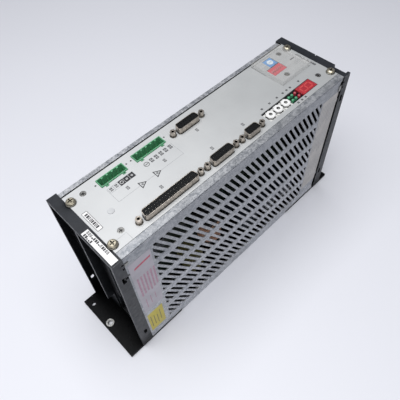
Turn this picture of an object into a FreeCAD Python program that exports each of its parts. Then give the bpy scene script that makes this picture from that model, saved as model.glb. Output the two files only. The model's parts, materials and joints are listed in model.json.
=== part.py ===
import FreeCAD, Part
import math
import os
import re
import Sketcher
from FreeCAD import Placement, Rotation, Vector

# Servo drive lying on its back. +Z points out of the mounting wall through the front panel,
# +Y runs along the length to the top end and +X points at the perforated side cover.
# The origin is the centre of the rear mounting face.

SIZES = {
    # housing
    "HousingWide": 80.8,
    "HousingLong": 265.0,
    "PlateLong": 321.0,
    "PlateThick": 4.0,
    "FrontHeight": 174.0,
    "SheetThick": 1.0,
    "CoverReturn": 6.4,
    "CoverGap": 2.5,
    # front panel
    "PanelWide": 67.4,
    "PanelThick": 1.5,
    # end frames
    "FrameFrontDeep": 9.3,
    "FrameRearDeep": 12.5,
    "FrameWall": 2.2,
    "FrameProud": 1.0,
    "LeftWallFront": 3.0,
    "LeftWallRear": 4.6,
    "RightWallFront": 1.0,
    "RightWallRear": 3.8,
    "FrontStripThick": 2.8,
    # mounting holes
    "MountHole": 8.5,
    "BushBore": 5.5,
    "MountSpacing": 309.0,
    "EarthHole": 4.5,
    # air slots of the side cover
    "SlotTall": 22.8,
    "SlotWide": 3.0,
    "SlotLean": 13.6,
    "SlotPitch": 6.43,
    "SlotRowPitch": 30.6,
    # boards
    "BoardThick": 1.6,
    "BoardHeight": 160.0,
    # connectors
    "DsubHigh": 7.9,
    "DsubRise": 6.0,
    "DsubFlange": 1.2,
    "JackAcross": 4.8,
    "HeaderPitch": 5.08,
    "HeaderWide": 8.9,
    "HeaderRise": 1.0,
    # indicators and settings
    "KnobAcross": 9.8,
    "KnobPitch": 10.3,
    "LedAcross": 3.0,
    "DipPitch": 2.54,
    "DipTravel": 1.6,
}

doc = FreeCAD.newDocument("servo_drive")
sheet = doc.addObject("Spreadsheet::Sheet", "Dimensions")
NODES = []

for row, (alias, amount) in enumerate(SIZES.items(), start=1):
    sheet.set("A%d" % row, alias)
    sheet.set("B%d" % row, str(amount))
    sheet.setAlias("B%d" % row, alias)
doc.recompute()


def size(alias):
    """The number that the sheet holds under a name."""
    return float(sheet.get(alias))


HALF_WIDE = size("HousingWide") / 2
HALF_LONG = size("HousingLong") / 2
HALF_PANEL = size("PanelWide") / 2
FRONT = size("FrontHeight")
PANEL_BACK = FRONT - size("PanelThick")
BOARD_TOP = size("BoardHeight") + size("BoardThick")
SHEET = size("SheetThick")

# places on the front panel
CORNER_SCREWS = [(-25.0, -129.6), (27.2, -129.6), (-25.0, 129.6), (27.2, 129.6)]
SPACER_SCREWS = [(-25.7, -118.1), (21.6, -118.1), (-25.7, 118.1), (21.6, 118.1)]
BLIND_PLUG = (2.9, -112.7)
HEADER_X = -23.75
HEADERS = {"supply_header": (-91.2, 5, 8.5), "motor_header": (-52.9, 6, 11.0)}
DSUB_ROW_X = 26.1
# name: centre x, centre y, shell length, jackscrew spacing, contacts in the long row
DSUBS = {
    "io_socket_shell": (DSUB_ROW_X, -72.45, 55.4, 63.5, 19),
    "feedback_socket_shell": (DSUB_ROW_X, -16.65, 24.7, 33.3, 8),
    "serial_socket_shell": (DSUB_ROW_X, 20.0, 16.4, 25.0, 5),
    "encoder_socket_shell": (-20.2, -11.35, 24.7, 33.3, 8),
}
INDICATOR_X = 23.4
KNOB_Y = 47.5
LED_ROWS = [74.9, 79.2, 83.5]
LED_COLUMNS = [21.4, 26.2]
DISPLAY = (18.2, 87.8, 10.4, 19.4)
CODING = (-23.6, 102.4)
DIP = (-17.2, 90.7, 10.0, 17.2)
DIP_COUNT = 6
TRIMMER = (-0.7, 100.0)


# ---- helpers -------------------------------------------------------------------------------

def qualified(text):
    """The same expression with every name pointing at the sheet."""
    return re.sub(r"[A-Z][A-Za-z]+", lambda found: "Dimensions." + found.group(0), text)


def bind(thing, path, amount):
    """Set a property, or tie it to the sheet when the amount is an expression."""
    if isinstance(amount, str):
        thing.setExpression(path, qualified(amount))
    else:
        thing.setExpression(path, "%.6f" % amount)


def place(thing, x, y, z):
    for axis, amount in zip("xyz", (x, y, z)):
        bind(thing, "Placement.Base." + axis, amount)
    return thing


def box(name, x, y, z, wide, deep, tall):
    solid = doc.addObject("Part::Box", name)
    bind(solid, "Length", wide)
    bind(solid, "Width", deep)
    bind(solid, "Height", tall)
    return place(solid, x, y, z)


TURNS = {
    "x": Rotation(Vector(0, 1, 0), 90),
    "y": Rotation(Vector(1, 0, 0), -90),
    "z": Rotation(),
}


def cylinder(name, x, y, z, radius, tall, axis="z"):
    solid = doc.addObject("Part::Cylinder", name)
    bind(solid, "Radius", radius)
    bind(solid, "Height", tall)
    solid.Placement = Placement(Vector(), TURNS[axis])
    return place(solid, x, y, z)


def cone(name, x, y, z, radius_low, radius_high, tall):
    solid = doc.addObject("Part::Cone", name)
    bind(solid, "Radius1", radius_low)
    bind(solid, "Radius2", radius_high)
    bind(solid, "Height", tall)
    return place(solid, x, y, z)


def prism(name, sides, x, y, z, circumradius, tall):
    solid = doc.addObject("Part::Prism", name)
    solid.Polygon = sides
    bind(solid, "Circumradius", circumradius)
    bind(solid, "Height", tall)
    return place(solid, x, y, z)


def dome(name, x, y, z, radius):
    solid = doc.addObject("Part::Sphere", name)
    bind(solid, "Radius", radius)
    solid.Angle1 = 0
    return place(solid, x, y, z)


def fuse(name, shapes):
    whole = doc.addObject("Part::MultiFuse", name)
    whole.Shapes = shapes
    whole.Refine = True
    return whole


def cut(name, base, tools):
    tool = tools[0] if len(tools) == 1 else group(name + "_tools", tools)
    result = doc.addObject("Part::Cut", name)
    result.Base = base
    result.Tool = tool
    return result


def group(name, shapes):
    whole = doc.addObject("Part::Compound", name)
    whole.Links = shapes
    return whole


def node(thing, label):
    """Mark an object as a finished piece with its own label."""
    thing.Label = label
    NODES.append(thing)
    return thing


def new_body(name):
    return doc.addObject("PartDesign::Body", name)


def sketch_on(body, name, plane, offset=0.0):
    """A sketch on one of the body's own origin planes, moved along that plane's normal."""
    sketch = body.newObject("Sketcher::SketchObject", name)
    support = [item for item in body.Origin.OriginFeatures if item.Role == plane][0]
    sketch.AttachmentSupport = [(support, "")]
    sketch.MapMode = "FlatFace"
    bind(sketch, "AttachmentOffset.Base.z", offset)
    return sketch


def rectangle(sketch, left, low, wide, tall):
    """A rectangle from its lower left corner, with its place and sizes as sketch dimensions."""
    across = size(wide) if isinstance(wide, str) else wide
    along = size(tall) if isinstance(tall, str) else tall
    corners = [(left, low), (left + across, low), (left + across, low + along), (left, low + along)]
    first = polygon(sketch, corners)
    for side in range(4):
        sketch.addConstraint(Sketcher.Constraint("Coincident", first + side, 2, first + (side + 1) % 4, 1))
    for side, kind in enumerate(("Horizontal", "Vertical", "Horizontal", "Vertical")):
        sketch.addConstraint(Sketcher.Constraint(kind, first + side))
    sketch.addConstraint(Sketcher.Constraint("DistanceX", -1, 1, first, 1, left))
    sketch.addConstraint(Sketcher.Constraint("DistanceY", -1, 1, first, 1, low))
    for kind, side, amount, text in (("DistanceX", 0, across, wide), ("DistanceY", 1, along, tall)):
        number = sketch.addConstraint(Sketcher.Constraint(kind, first + side, 1, first + side, 2, amount))
        bind(sketch, "Constraints[%d]" % number, text)


def polygon(sketch, points):
    first = sketch.GeometryCount
    for start, end in zip(points, points[1:] + points[:1]):
        sketch.addGeometry(Part.LineSegment(Vector(*start, 0), Vector(*end, 0)), False)
    return first


def circle(sketch, x, y, diameter):
    """A circle held by its centre and its diameter."""
    across = size(diameter) if isinstance(diameter, str) else diameter
    ring = sketch.addGeometry(Part.Circle(Vector(x, y, 0), Vector(0, 0, 1), across / 2), False)
    sketch.addConstraint(Sketcher.Constraint("DistanceX", -1, 1, ring, 3, x))
    sketch.addConstraint(Sketcher.Constraint("DistanceY", -1, 1, ring, 3, y))
    number = sketch.addConstraint(Sketcher.Constraint("Diameter", ring, across))
    bind(sketch, "Constraints[%d]" % number, diameter)


def rounded(sketch, points, radius):
    """A closed outline with an arc of one radius at each corner."""
    count = len(points)
    joints = []
    for index in range(count):
        corner = Vector(*points[index], 0)
        before = (Vector(*points[index - 1], 0) - corner).normalize()
        after = (Vector(*points[(index + 1) % count], 0) - corner).normalize()
        half_turn = before.getAngle(after) / 2
        reach = radius / math.tan(half_turn)
        middle = (before + after).normalize()
        centre = corner + middle * (radius / math.sin(half_turn))
        joints.append((corner + before * reach, centre - middle * radius, corner + after * reach))
    for index, (start, top, end) in enumerate(joints):
        sketch.addGeometry(Part.Arc(start, top, end), False)
        following = joints[(index + 1) % count][0]
        sketch.addGeometry(Part.LineSegment(end, following), False)


def pad(body, name, sketch, length, both_ways=False):
    feature = body.newObject("PartDesign::Pad", name)
    feature.Profile = sketch
    bind(feature, "Length", length)
    if both_ways:
        feature.SideType = "Symmetric"
    return feature


def pocket(body, name, sketch, length, both_ways=False, reverse=False):
    """A cut that has to take material away."""
    doc.recompute()
    before = body.Shape.Volume
    feature = body.newObject("PartDesign::Pocket", name)
    feature.Profile = sketch
    feature.Reversed = reverse
    bind(feature, "Length", length)
    if both_ways:
        feature.SideType = "Symmetric"
    doc.recompute()
    if body.Shape.Volume >= before - 1e-6:
        raise RuntimeError(name + " cuts nothing")
    return feature


# ---- housing -------------------------------------------------------------------------------

WAIST = (-91.5, 173.0)
WAIST_DEEP = 1.2
MOUNT_X = -2.0
EARTH_X = -31.3
FOOT_SCREW_X = 28.0
FOOT_SCREW_Y = 129.0
FOOT_SCREW_HEAD = 8.0
FOOT_SCREW_HOLE = 4.0


def make_back_plate():
    body = new_body("BackPlate")
    outline = sketch_on(body, "PlateOutline", "XY_Plane")
    rectangle(outline, -HALF_WIDE, -size("PlateLong") / 2, "HousingWide", "PlateLong")
    pad(body, "PlatePad", outline, "PlateThick")
    holes = sketch_on(body, "PlateHoles", "XY_Plane")
    for end in (-1, 1):
        circle(holes, MOUNT_X, end * size("MountSpacing") / 2, "MountHole")
        circle(holes, EARTH_X, end * size("MountSpacing") / 2, "EarthHole")
        for side in (-1, 1):
            circle(holes, side * FOOT_SCREW_X, end * FOOT_SCREW_Y, FOOT_SCREW_HOLE)
    pocket(body, "PlateHolePocket", holes, "PlateThick", reverse=True)
    waist = sketch_on(body, "PlateWaist", "XY_Plane")
    rectangle(waist, HALF_WIDE - WAIST_DEEP, WAIST[0], 2 * WAIST_DEEP, WAIST[1])
    pocket(body, "PlateWaistPocket", waist, "PlateThick", reverse=True)
    sunk = [
        cone("PlateSink", side * FOOT_SCREW_X, end * FOOT_SCREW_Y, 0.0,
             FOOT_SCREW_HEAD / 2, FOOT_SCREW_HOLE / 2, 2.0)
        for side in (-1, 1) for end in (-1, 1)
    ]
    node(cut("BackPlateSunk", body, sunk), "back_plate")


def make_end_frame_screws():
    screws = []
    for side in (-1, 1):
        for end in (-1, 1):
            x, y = side * FOOT_SCREW_X, end * FOOT_SCREW_Y
            head = cone("FootHead", x, y, 0.0, FOOT_SCREW_HEAD / 2, FOOT_SCREW_HOLE / 2, 2.0)
            shank = cylinder("FootShank", x, y, 2.0, FOOT_SCREW_HOLE / 2, 9.0)
            bars = [
                box("FootDrive", x - wide / 2, y - deep / 2, -1.0, wide, deep, 2.2)
                for wide, deep in ((4.0, 0.8), (0.8, 4.0))
            ]
            screws.append(cut("FootScrew", fuse("FootSolid", [head, shank]), bars))
    node(group("FootScrews", screws), "end_frame_screws")


def make_fixing_bushes():
    """Steel bushes pressed into the two wall-fixing holes."""
    bushes = []
    for end in (-1, 1):
        y = end * size("MountSpacing") / 2
        ring = cylinder("BushRing", MOUNT_X, y, 0.0, "MountHole / 2 - 0.02", "PlateThick")
        bore = cylinder("BushHole", MOUNT_X, y, 0.0, "BushBore / 2", "PlateThick")
        bushes.append(cut("Bush", ring, [bore]))
    node(group("Bushes", bushes), "fixing_bushes")


def frame_section(sketch, end, inner, rear, front, low, high):
    """Section of an end frame in YZ that leans outwards towards the mounting plate."""
    rear_inner, front_inner = inner
    points = [
        (end * rear_inner, low),
        (end * rear, low),
        (end * front, high),
        (end * front_inner, high),
    ]
    polygon(sketch, points)


# windows in the side walls: side, middle height, distance from the housing's end, depth
WINDOWS = [(1, 146.2, 2.6, 3.5), (1, 33.0, 3.0, 3.5), (-1, 36.5, 5.4, 3.5)]
WINDOW_TALL = 8.6
# cover tabs: end of the housing and middle height
TABS = [(-1, 33.0), (1, 33.0), (1, 146.2)]
TAB_TALL = 4.0
TAB_DEEP = 2.0
# slot for a hooked tool at the bottom end, between the front window and the cover
HOOK_SLOT_Z = 145.6
HOOK_SLOT_TALL = 3.0
HOOK_NOTCH = 1.8
RIB = (-4.8, -2.4)
RIB_LOW = 50.0
# air openings in the right-hand recess of the bottom end: low X, low Z, width, height
AIR_OPENINGS = [(7.5, 14.0, 26.5, 144.0), (-1.0, 14.0, 9.0, 42.0)]
# holes above and below each cover clip: low edge and height
CLIP_HOLES = [(160.4, 2.4), (166.0, 2.2)]
FRAME_LEDGE = (10.5, 7.5)
FRAME_FOOT = (8.0, 7.5)
CORNER_SCREW = 4.0


def make_end_frame(label, end):
    """One black end frame; end is -1 at the bottom end and 1 at the top end."""
    body = new_body(label + "_body")
    low = size("PlateThick")
    front = HALF_LONG + size("FrameFrontDeep")
    rear = HALF_LONG + size("FrameRearDeep")
    half_frame = HALF_WIDE + size("FrameProud")
    inner_x = half_frame - size("FrameWall")
    room_top = FRONT - size("FrontStripThick")
    outer = sketch_on(body, "FrameSection", "YZ_Plane")
    frame_section(outer, end, (HALF_LONG, HALF_LONG), rear, front, low, FRONT)
    pad(body, "FramePad", outer, "HousingWide + 2 * FrameProud", both_ways=True)
    beyond = rear + size("FrameWall")
    for name, left, right in (("LeftWall", -inner_x, RIB[0]), ("RightWall", RIB[1], inner_x)):
        face_rear = HALF_LONG + size(name + "Rear")
        face_front = HALF_LONG + size(name + "Front")
        room = sketch_on(body, "FrameRoom", "YZ_Plane", (left + right) / 2)
        frame_section(room, end, (face_rear, face_front), beyond, beyond, 0.0, room_top)
        pocket(body, "FrameRoomPocket", room, right - left, both_ways=True)

    def along(distance, deep):
        """Low Y of a block that starts at a distance from the middle and runs outwards."""
        return end * distance if end > 0 else -distance - deep

    pieces = [
        body,
        box("FrameLedge", -33.0, along(HALF_LONG - FRAME_LEDGE[1], FRAME_LEDGE[1]),
            PANEL_BACK - FRAME_LEDGE[0], 66.0, FRAME_LEDGE[1], FRAME_LEDGE[0]),
        box("FrameFoot", -33.0, along(HALF_LONG - FRAME_FOOT[1], FRAME_FOOT[1]),
            low, 66.0, FRAME_FOOT[1], FRAME_FOOT[0]),
    ]
    rib_root = HALF_LONG + size("LeftWallRear")
    gaps = [box("RibGap", RIB[0], along(rib_root, 10.0), low, RIB[1] - RIB[0], 10.0, RIB_LOW - low)]
    for side, height, start, deep in WINDOWS:
        corner = inner_x if side > 0 else -half_frame
        gaps.append(box("FrameWindow", corner, along(HALF_LONG + start, deep),
                        height - WINDOW_TALL / 2, size("FrameWall"), deep, WINDOW_TALL))
    for tab_end, height in TABS:
        if tab_end == end:
            gaps.append(box("TabNotch", HALF_WIDE - SHEET, along(HALF_LONG, TAB_DEEP), height - TAB_TALL / 2,
                            SHEET, TAB_DEEP, TAB_TALL))
    if end < 0:
        for left, start, wide, tall in AIR_OPENINGS:
            gaps.append(box("AirOpening", left, along(HALF_LONG, 6.0), start, wide, 6.0, tall))
        reach = WINDOWS[0][2]
        gaps.append(box("HookSlot", inner_x, along(HALF_LONG, reach), HOOK_SLOT_Z, size("FrameWall"),
                        reach, HOOK_SLOT_TALL))
    for side in (-1, 1):
        gaps.append(cylinder("FootBore", side * FOOT_SCREW_X, end * FOOT_SCREW_Y, low,
                             FOOT_SCREW_HOLE / 2, 7.0))
    for x, y in CORNER_SCREWS:
        if y * end > 0:
            gaps.append(cylinder("LedgeBore", x, y, PANEL_BACK - 9.0, CORNER_SCREW / 2, 9.0))
    if end > 0:
        gaps.append(box("FrontStep", 24.3, HALF_LONG + 5.8, FRONT - 14.0, 14.2, 12.0, 20.0))
        gaps.append(box("FrontNick", 0.9, HALF_LONG + 8.0, FRONT - 8.0, 1.4, 6.0, 12.0))
    for z, tall in CLIP_HOLES:
        gaps.append(box("ClipHole", inner_x, along(HALF_LONG + 0.4, 2.0), z, size("FrameWall"), 2.0, tall))
    node(cut(label + "_cut", fuse(label + "_solid", pieces), gaps), label)


RAIL_WIDE = 4.1


def make_left_cover():
    body = new_body("LeftCover")
    low = size("PlateThick")
    outer = -HALF_WIDE
    rail = outer + RAIL_WIDE
    section = sketch_on(body, "LeftSection", "XZ_Plane")
    polygon(section, [
        (outer, low), (rail, low), (rail, low + SHEET), (outer + SHEET, low + SHEET),
        (outer + SHEET, PANEL_BACK - SHEET), (rail, PANEL_BACK - SHEET),
        (rail, PANEL_BACK), (outer, PANEL_BACK),
    ])
    pad(body, "LeftPad", section, "HousingLong", both_ways=True)
    node(body, "left_cover")


SLOT_FIELD = (-107.0, 104.0)
SLOT_FIRST_TOP = -98.5
SLOT_MIDDLE = 88.0
SLOT_ROWS = 5


def clipped(points, limit, keep):
    """The part of an outline on one side of a limit in Y; keep is 1 above it and -1 below it."""
    result = []
    for start, end in zip(points, points[1:] + points[:1]):
        start_in = (start[0] - limit) * keep >= 0
        end_in = (end[0] - limit) * keep >= 0
        if start_in:
            result.append(start)
        if start_in != end_in:
            share = (limit - start[0]) / (end[0] - start[0])
            result.append((limit, start[1] + share * (end[1] - start[1])))
    return result


def area(points):
    turns = zip(points, points[1:] + points[:1])
    return abs(sum(a[0] * b[1] - b[0] * a[1] for a, b in turns)) / 2


def air_slots(sketch):
    """Rows of leaning slots; those that reach over the ends of the field are cut off there."""
    half_tall = size("SlotTall") / 2
    lean = size("SlotLean")
    half_wide = size("SlotWide") / 2 / math.cos(math.atan2(lean, size("SlotTall")))
    smallest = 2.0
    for line in range(SLOT_ROWS):
        middle = SLOT_MIDDLE + (line - (SLOT_ROWS - 1) / 2) * size("SlotRowPitch")
        for step in range(-3, 33):
            top = SLOT_FIRST_TOP + step * size("SlotPitch")
            points = [
                (top - half_wide, middle + half_tall),
                (top + half_wide, middle + half_tall),
                (top + lean + half_wide, middle - half_tall),
                (top + lean - half_wide, middle - half_tall),
            ]
            inside = clipped(clipped(points, SLOT_FIELD[0], 1), SLOT_FIELD[1], -1)
            if len(inside) < 3 or area(inside) < smallest:
                continue
            if inside == points:
                rounded(sketch, points, half_wide * 0.55)
            else:
                polygon(sketch, inside)


SEAM = (0.7, 0.9)
CLIP_THICK = 0.6
# clips over the joints between cover and end frames: low Y, low Z, length, height
CLIPS = [(-132.4, 163.0, 3.8, 2.8), (128.6, 158.4, 3.8, 6.8)]


def make_side_cover():
    """Perforated cover with its front return, the seam below the return, a skirt and tabs."""
    body = new_body("SideCover")
    low = size("PlateThick")
    outer = HALF_WIDE
    inner = outer - size("CoverReturn")
    section = sketch_on(body, "SideSection", "XZ_Plane")
    seam_deep, seam_tall = SEAM
    seam_top = FRONT - SHEET
    polygon(section, [
        (outer, low), (outer, seam_top - seam_tall), (outer - seam_deep, seam_top - seam_tall),
        (outer - seam_deep, seam_top), (outer, seam_top), (outer, FRONT), (inner, FRONT),
        (inner, FRONT - 2 * SHEET), (outer - 2 * SHEET, FRONT - 2 * SHEET),
        (outer - 2 * SHEET, FRONT - 4 * SHEET), (outer - SHEET, FRONT - 4 * SHEET),
        (outer - SHEET, low + SHEET), (inner, low + SHEET), (inner, low),
    ])
    pad(body, "SidePad", section, "HousingLong", both_ways=True)
    slots = sketch_on(body, "AirSlots", "YZ_Plane", "HousingWide / 2")
    air_slots(slots)
    pocket(body, "AirSlotPocket", slots, "2 * SheetThick")
    gap = size("CoverGap")
    wall_low = low + SHEET
    wall_top = FRONT - size("FrontStripThick") - 2.2
    gone = [
        box("CoverShort", outer - SHEET, HALF_LONG - gap, wall_low, SHEET, gap, wall_top - wall_low),
        box("HookNotch", outer - SHEET, -HALF_LONG, HOOK_SLOT_Z, SHEET, HOOK_NOTCH, HOOK_SLOT_TALL),
    ]
    skirt = box("CoverSkirt", outer - SHEET, WAIST[0] + 1.0, 0.4, SHEET, WAIST[1] - 2.0, low)
    tabs = []
    for end, height in TABS:
        start, deep = (HALF_LONG - gap, gap + TAB_DEEP) if end > 0 else (-HALF_LONG - TAB_DEEP, TAB_DEEP)
        tabs.append(box("CoverTab", outer - SHEET, start, height - TAB_TALL / 2 + 0.2,
                        SHEET, deep, TAB_TALL - 0.4))
    whole = fuse("SideCoverWhole", [cut("SideCoverShort", body, gone), skirt] + tabs)
    node(whole, "perforated_side_cover")


def make_cover_clips():
    """Small steel clips that hold the cover's front corners against the end frames."""
    clips = []
    for y, z, length, tall in CLIPS:
        clips.append(box("CoverClip", HALF_WIDE, y, z, CLIP_THICK, length, tall))
    node(group("CoverClips", clips), "cover_clips")


# ---- front panel and its fastenings --------------------------------------------------------

PANEL_SLOT = (17.2, 41.4, 11.9, 66.6)
HEADER_LUG = (1.7, 2.6)
HEADER_WALL = 0.7
HEADER_RIB = (1.1, 1.6)
HEADER_FLOOR = 165.5
PIN_TOP = 170.3
HEADER_END = 2.84
CONTACT_ROW_GAP = 2.84
CONTACT_PITCH = 2.77
JACK_HOLE = 3.1
DSUB_LEAN = math.tan(math.radians(10))


def dsub_outline(sketch, x, y, length, grow):
    """D outline with its long side towards the perforated cover; grow widens it all round."""
    half_high = size("DsubHigh") / 2
    shrink = 2 * half_high * DSUB_LEAN
    long_half = length / 2 + grow
    short_half = length / 2 - shrink + grow
    rounded(sketch, [
        (x + half_high + grow, y - long_half),
        (x + half_high + grow, y + long_half),
        (x - half_high - grow, y + short_half),
        (x - half_high - grow, y - short_half),
    ], 2.2 + grow)


def header_length(ways):
    return (ways - 1) * size("HeaderPitch") + 2 * HEADER_END


def header_outline(y, ways, lug_offset, gap):
    """Outline of a header with its two lugs, widened by a gap."""
    left = HEADER_X - size("HeaderWide") / 2 - gap
    right = HEADER_X + size("HeaderWide") / 2 + gap
    reach = right + HEADER_LUG[0]
    half = header_length(ways) / 2 + gap
    half_lug = HEADER_LUG[1] / 2 + gap
    points = [(left, y - half), (right, y - half)]
    for lug in (y - lug_offset, y + lug_offset):
        points += [
            (right, lug - half_lug), (reach, lug - half_lug),
            (reach, lug + half_lug), (right, lug + half_lug),
        ]
    return points + [(right, y + half), (left, y + half)]


def make_front_panel():
    body = new_body("FrontPanel")
    outline = sketch_on(body, "PanelOutline", "XY_Plane", "FrontHeight - PanelThick")
    rectangle(outline, -HALF_PANEL, -HALF_LONG, "PanelWide", "HousingLong")
    pad(body, "PanelPad", outline, "PanelThick")
    openings = sketch_on(body, "PanelOpenings", "XY_Plane", "FrontHeight")
    rectangle(openings, *PANEL_SLOT)
    for y, ways, lug_offset in HEADERS.values():
        polygon(openings, header_outline(y, ways, lug_offset, 0.2))
    for x, y, length, spacing, _ in DSUBS.values():
        dsub_outline(openings, x, y, length, 0.3)
    clear = 0.35
    left, low = CODING[0] - 5.25 - clear, CODING[1] - 5.25 - clear
    step = DIP[0] - clear - 0.3
    right, top = DIP[0] + DIP[2] + clear, DIP[1] + DIP[3] + clear
    polygon(openings, [
        (left, low), (step, low), (step, DIP[1] - clear), (right, DIP[1] - clear), (right, top), (left, top),
    ])
    pocket(body, "PanelOpeningPocket", openings, "PanelThick")
    holes = sketch_on(body, "PanelHoles", "XY_Plane", "FrontHeight")
    for x, y, length, spacing, _ in DSUBS.values():
        for end in (-1, 1):
            circle(holes, x, y + end * spacing / 2, JACK_HOLE)
    for x, y in CORNER_SCREWS:
        circle(holes, x, y, CORNER_SCREW + 0.4)
    for y, ways, lug_offset in HEADERS.values():
        for end in (-1, 1):
            circle(holes, HEADER_X - 1.0, y + end * (header_length(ways) / 2 + 2.5), 1.6)
    circle(holes, *BLIND_PLUG, 4.6)
    circle(holes, *TRIMMER, 5.6)
    pocket(body, "PanelHolePocket", holes, "PanelThick")
    sunk = [cone("PanelSink", x, y, PANEL_BACK, 1.5, 2.8, size("PanelThick")) for x, y in SPACER_SCREWS]
    node(cut("FrontPanelSunk", body, sunk), "front_panel")


def cross_drive(name, x, y, top, reach, deep):
    """Two crossed bars that cut a screw's drive."""
    narrow = reach / 4.5
    return [
        box(name, x - wide / 2, y - length / 2, top - deep, wide, length, deep + 1.0)
        for wide, length in ((reach, narrow), (narrow, reach))
    ]


def make_corner_screws():
    screws = []
    washers = []
    washer = 1.0
    for x, y in CORNER_SCREWS:
        head = cylinder("CornerHead", x, y, FRONT + washer, 3.7, 1.3)
        crown = cone("CornerCrown", x, y, FRONT + washer + 1.3, 3.7, 2.6, 0.9)
        shank = cylinder("CornerShank", x, y, PANEL_BACK - 8.5, CORNER_SCREW / 2,
                         8.5 + size("PanelThick") + washer)
        solid = fuse("CornerSolid", [head, crown, shank])
        screws.append(cut("CornerScrew", solid, cross_drive("CornerDrive", x, y, FRONT + 3.2, 4.4, 1.5)))
        ring = fuse("WasherSolid", [
            cylinder("WasherBase", x, y, FRONT, 4.3, 0.5),
            cone("WasherCup", x, y, FRONT + 0.5, 4.3, 3.9, 0.5),
        ])
        washers.append(cut("Washer", ring, [cylinder("WasherBore", x, y, FRONT, CORNER_SCREW / 2, washer)]))
    node(group("CornerScrews", screws), "panel_corner_screws")
    node(group("Washers", washers), "panel_screw_washers")


def make_spacer_screws():
    screws = []
    for x, y in SPACER_SCREWS:
        head = cone("SunkHead", x, y, PANEL_BACK, 1.5, 2.8, size("PanelThick"))
        shank = cylinder("SunkShank", x, y, PANEL_BACK - 6.0, 1.5, 6.0)
        drive = cross_drive("SunkDrive", x, y, FRONT, 3.0, 1.0)
        screws.append(cut("SunkScrew", fuse("SunkSolid", [head, shank]), drive))
    node(group("SunkScrews", screws), "panel_countersunk_screws")


POWER_BOARD_X = 3.5
HEAT_SINK_FACE = -8.0
POWER_SPACERS = [(-105.0, 22.0), (105.0, 22.0), (-105.0, 140.0), (105.0, 140.0)]


def make_spacers():
    """Hexagonal spacers behind the panel and plain ones behind the power board."""
    spacers = []
    for x, y in SPACER_SCREWS:
        outer = prism("SpacerHex", 6, x, y, BOARD_TOP, 3.2, PANEL_BACK - BOARD_TOP)
        bore = cylinder("SpacerBore", x, y, PANEL_BACK - 7.0, 1.5, 7.0)
        spacers.append(cut("PanelSpacer", outer, [bore]))
    for y, z in POWER_SPACERS:
        spacers.append(cylinder("PowerSpacer", HEAT_SINK_FACE, y, z, 3.0,
                                POWER_BOARD_X - HEAT_SINK_FACE, "x"))
    node(group("Spacers", spacers), "board_spacers")


def make_blind_plug():
    x, y = BLIND_PLUG
    head = cone("PlugHead", x, y, FRONT, 2.9, 2.6, 0.5)
    stem = cylinder("PlugStem", x, y, PANEL_BACK - 2.5, 2.3, 2.5 + size("PanelThick"))
    node(fuse("Plug", [head, stem]), "blind_plug")


# ---- connectors ----------------------------------------------------------------------------

def make_headers():
    pins = []
    for label, (y, ways, lug_offset) in HEADERS.items():
        length = header_length(ways)
        wide = size("HeaderWide")
        top = FRONT + size("HeaderRise")
        left = HEADER_X - wide / 2
        outer = box("HeaderBlock", left, y - length / 2, BOARD_TOP, "HeaderWide", length, top - BOARD_TOP)
        lugs = [
            box("HeaderLug", left + wide, y + end * lug_offset - HEADER_LUG[1] / 2, PANEL_BACK,
                HEADER_LUG[0], HEADER_LUG[1], top - 0.5 - PANEL_BACK)
            for end in (-1, 1)
        ]
        lug_rooms = [
            box("LugRoom", left + wide + 0.2, y + end * lug_offset - 0.8, PANEL_BACK + 0.5, 1.0, 1.6, 4.0)
            for end in (-1, 1)
        ]
        floor = HEADER_FLOOR
        inner_long = length - 2 * HEADER_WALL
        hollow = box("HeaderRoom", left + HEADER_WALL, y - inner_long / 2, floor,
                     wide - 2 * HEADER_WALL, inner_long, top - floor)
        shell = cut("HeaderShell", fuse("HeaderSolid", [outer] + lugs), [hollow] + lug_rooms)
        ribs = []
        for way in range(ways - 1):
            rib_y = y + (way - (ways - 2) / 2) * size("HeaderPitch")
            ribs.append(box("HeaderRib", left + HEADER_WALL, rib_y - HEADER_RIB[1] / 2, floor,
                            HEADER_RIB[0], HEADER_RIB[1], top - 0.3 - floor))
        bores = []
        for way in range(ways):
            pin_y = y + (way - (ways - 1) / 2) * size("HeaderPitch")
            bores.append(box("PinHole", HEADER_X - 0.5, pin_y - 0.5, BOARD_TOP, 1.0, 1.0, floor - BOARD_TOP))
            pins.append(box("HeaderPin", HEADER_X - 0.5, pin_y - 0.5, BOARD_TOP, 1.0, 1.0, PIN_TOP - BOARD_TOP))
        node(cut(label + "_cut", fuse(label + "_solid", [shell] + ribs), bores), label)
    node(group("HeaderPins", pins), "header_pins")


def contact_places(x, y, count):
    """Two rows of contacts: the long row towards the perforated cover."""
    places = []
    for side, in_row in ((1, count), (-1, count - 1)):
        for step in range(in_row):
            across = x + side * CONTACT_ROW_GAP / 2
            places.append((across, y + (step - (in_row - 1) / 2) * CONTACT_PITCH))
    return places


def make_dsub_shell(label):
    x, y, length, spacing, _ = DSUBS[label]
    body = new_body(label + "_body")
    half_flange = spacing / 2 + 3.1
    flange = sketch_on(body, "FlangeSketch", "XY_Plane", "FrontHeight - PanelThick - DsubFlange")
    rounded(flange, [
        (x - 6.2, y - half_flange), (x + 6.2, y - half_flange),
        (x + 6.2, y + half_flange), (x - 6.2, y + half_flange),
    ], 1.5)
    dsub_outline(flange, x, y, length, -0.5)
    for end in (-1, 1):
        circle(flange, x, y + end * spacing / 2, 3.0)
    pad(body, "FlangePad", flange, "DsubFlange")
    collar = sketch_on(body, "CollarSketch", "XY_Plane", "FrontHeight - PanelThick - DsubFlange")
    dsub_outline(collar, x, y, length, 0.0)
    dsub_outline(collar, x, y, length, -0.5)
    pad(body, "CollarPad", collar, "DsubFlange + PanelThick + DsubRise")
    node(body, label)


CONTACT_RADIUS = 0.6


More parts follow.
